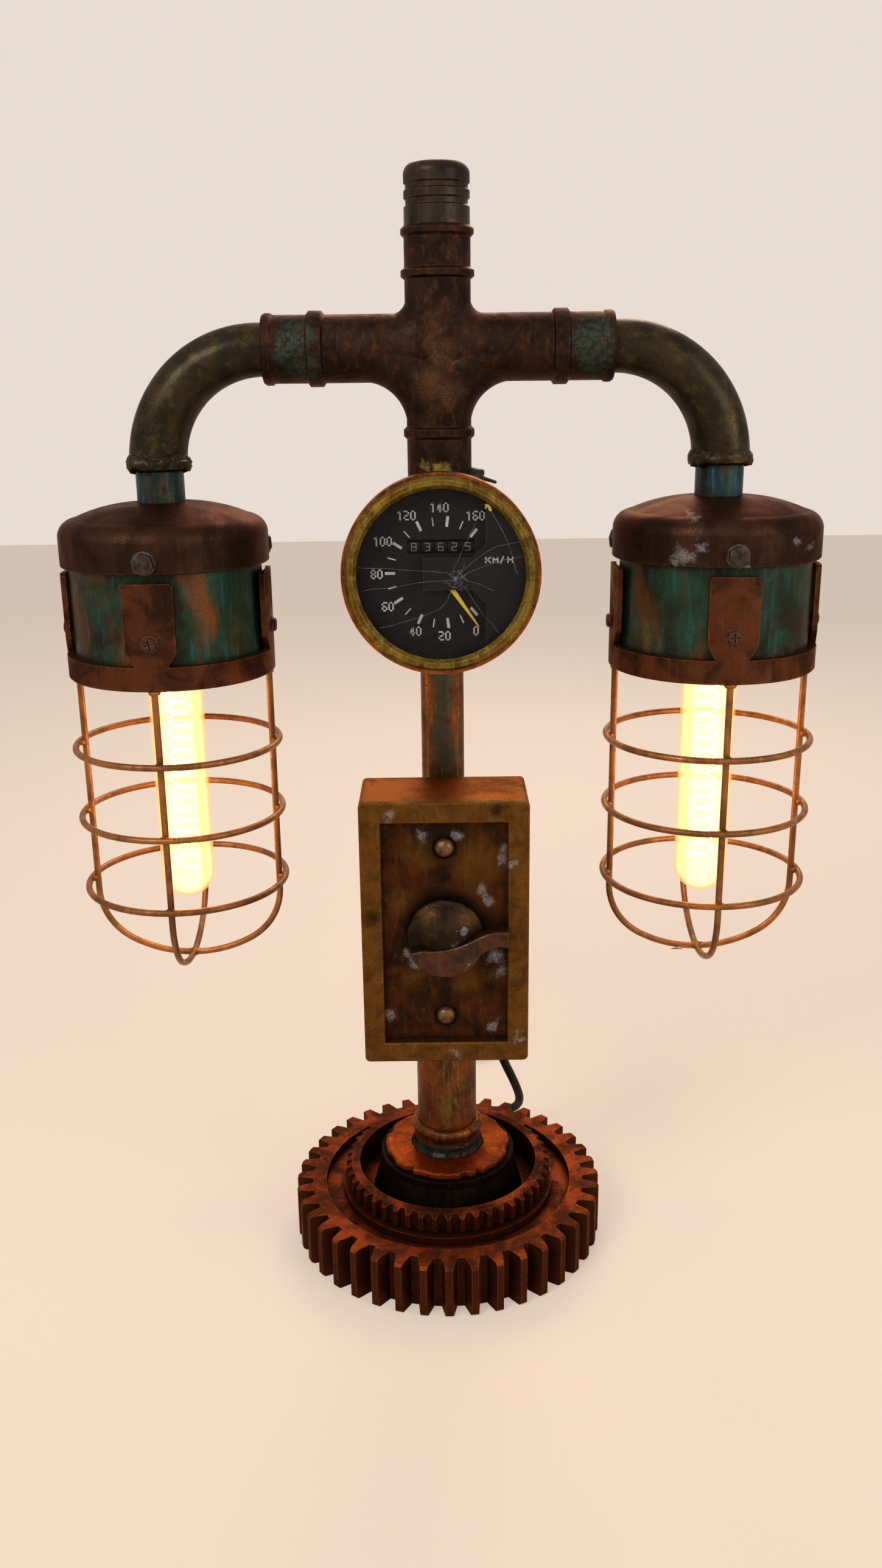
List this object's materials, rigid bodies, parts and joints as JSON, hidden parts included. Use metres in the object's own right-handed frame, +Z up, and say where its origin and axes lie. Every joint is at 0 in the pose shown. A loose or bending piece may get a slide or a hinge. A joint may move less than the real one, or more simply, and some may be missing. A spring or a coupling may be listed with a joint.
{
  "type": "pipe table lamp",
  "caption": "Table lamp of pipe fittings on a gear base, with a dial gauge, a rotary switch box and caged tubular bulbs hung from elbows",
  "frame": {"origin": "on the table, on the axis of the gear base", "axes": "+X to the lamp's right as its front is looked at, +Y from the gauge towards the back, +Z up the post"},
  "size_m": [0.4394, 0.4449, 0.649],
  "materials": {
    "gear_steel": "oiled dark iron with brown rust",
    "dog_steel": "worn dark steel",
    "rust_plate": "orange-brown rust",
    "post_steel": "brown patina with gold streaks",
    "cast_bronze": "dark brown and copper speckled casting",
    "cap_black": "blackened steel",
    "drop_blue": "blue-green heat tint",
    "head_brown": "dark brown with a copper skirt",
    "drum_teal": "teal and gold-brown patina",
    "guard_copper": "copper-brown casting",
    "wire_copper": "bronze-copper wire",
    "bolt_steel": "worn steel with pale corrosion",
    "porcelain": "glazed off-white",
    "bulb_glass": "clear, warm",
    "brass": "dull brass",
    "filament": "glowing",
    "box_rust": "dark brown with worn pale edges",
    "knob_black": "black-brown gloss",
    "bakelite": "brown-black",
    "rubber_black": "black",
    "can_copper": "dark copper",
    "gauge_glass": "clear, scratched",
    "dial_black": "matt black",
    "needle_yellow": "yellow",
    "drum_black": "matt black with pale figures",
    "lead_cloth": "covered leads",
    "chrome": "worn nickel"
  },
  "bodies": {
    "stand": {"base_gear": "gear_steel", "box_clamps": "bolt_steel", "box_frame": "box_rust", "box_shell": "box_rust", "cable_gland": "rubber_black", "cap_bolts": "bolt_steel", "clamp_screws": "bolt_steel", "cord_coil": "rubber_black", "cross_fitting": "cast_bronze", "dial_bridge": "drum_black", "dog_ring": "dog_steel", "foot_collar": "cast_bronze", "gauge_bezel": "brass", "gauge_can": "can_copper", "gauge_clamp": "bolt_steel", "gauge_dial": "dial_black", "gauge_glass": "gauge_glass", "gauge_movement": "brass", "hub_drum": "gear_steel", "hub_plate": "rust_plate", "left_bulb_cap": "brass", "left_bulb_glass": "bulb_glass", "left_drop_pipe": "drop_blue", "left_drum": "drum_teal", "left_elbow": "cast_bronze", "left_filament": "filament", "left_guard_hoops": "wire_copper", "left_guard_ring": "guard_copper", "left_guard_wires": "wire_copper", "left_head_cap": "head_brown", "left_lampholder": "porcelain", "odometer_drums": "drum_black", "panel_screws": "bolt_steel", "plug_body": "rubber_black", "plug_pins": "brass", "post_lower": "post_steel", "post_reducer": "cast_bronze", "post_upper": "post_steel", "power_cord": "rubber_black", "right_bulb_cap": "brass", "right_bulb_glass": "bulb_glass", "right_drop_pipe": "drop_blue", "right_drum": "drum_teal", "right_elbow": "cast_bronze", "right_filament": "filament", "right_guard_hoops": "wire_copper", "right_guard_ring": "guard_copper", "right_guard_wires": "wire_copper", "right_head_cap": "head_brown", "right_lampholder": "porcelain", "strap_screws": "bolt_steel", "switch_body": "bakelite", "switch_panel": "box_rust", "toggle_switch": "chrome", "top_cap": "cap_black", "wire_nipple": "brass", "wiring": "lead_cloth"},
    "knob": {"switch_knob": "knob_black"},
    "needle": {"gauge_needle": "needle_yellow"},
    "lever": {"toggle_lever": "chrome"}
  },
  "joints": [
    {"name": "knob_turn", "type": "hinge", "parent": "stand", "child": "knob", "pos_m": [0, -0.0645, 0.23575], "axis": [0, 1, 0], "range_deg": [-90, 0]},
    {"name": "needle_swing", "type": "hinge", "parent": "stand", "child": "needle", "pos_m": [0, -0.055, 0.44], "axis": [0, 1, 0], "range_deg": [0, 255], "stiffness_Nm_per_rad": 0.002, "springref_deg": -11.46},
    {"name": "lever_flip", "type": "hinge", "parent": "stand", "child": "lever", "pos_m": [0.02188, 0, 0.48658], "axis": [0, 1, 0], "range_deg": [-24, 0]}
  ]
}
